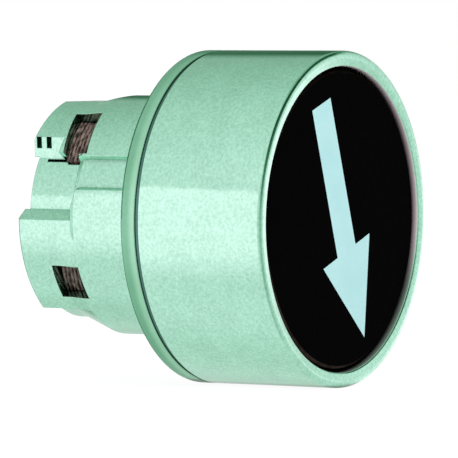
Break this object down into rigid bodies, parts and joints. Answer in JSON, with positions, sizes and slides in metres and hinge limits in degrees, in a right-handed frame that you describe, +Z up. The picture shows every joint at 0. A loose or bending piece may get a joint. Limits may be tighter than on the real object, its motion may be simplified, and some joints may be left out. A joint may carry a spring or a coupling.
{
  "type": "push button head",
  "caption": "Panel-mounted flush push button head with a round satin-chromed metal bezel, a black cap with a white arrow, a sprung plunger and a windowed neck.",
  "frame": {"origin": "centre of the neck at the panel plane, which is the rear face of the flange", "axes": "+Y along the button's axis into the panel, so the cap faces -Y; +Z up"},
  "size_m": [0.03, 0.0278, 0.03],
  "materials": {
    "satin_chrome": "satin chromed die casting, pale green-silver",
    "cap_black": "black moulded plastic, semi-gloss",
    "arrow_white": "white moulded inlay",
    "dark_plastic": "dark brown-black moulded plastic",
    "rubber": "black rubber",
    "spring_steel": "bright spring steel"
  },
  "bodies": {
    "housing": {"bezel": "satin_chrome", "body": "satin_chrome", "panel_gasket": "rubber", "bezel_o_ring": "rubber", "lip_seal": "rubber", "seal_retainer": "dark_plastic", "guide_sleeve": "dark_plastic", "rear_bush": "dark_plastic", "rear_circlip": "spring_steel", "return_spring": "spring_steel"},
    "button": {"button_cap": "cap_black", "arrow_inlay": "arrow_white", "cap_snap_ring": "spring_steel", "cap_carrier": "dark_plastic", "carrier_screw": "spring_steel", "plunger_stem": "dark_plastic", "stop_buffer": "rubber", "spring_washer": "spring_steel", "pusher_foot": "dark_plastic", "foot_clip": "spring_steel"}
  },
  "joints": [
    {"name": "button_press", "type": "slide", "parent": "housing", "child": "button", "axis": [0, 1, 0], "range_m": [0, 0.0043], "stiffness_N_per_m": 311, "springref_m": -0.008, "deforming": ["return_spring"]}
  ]
}
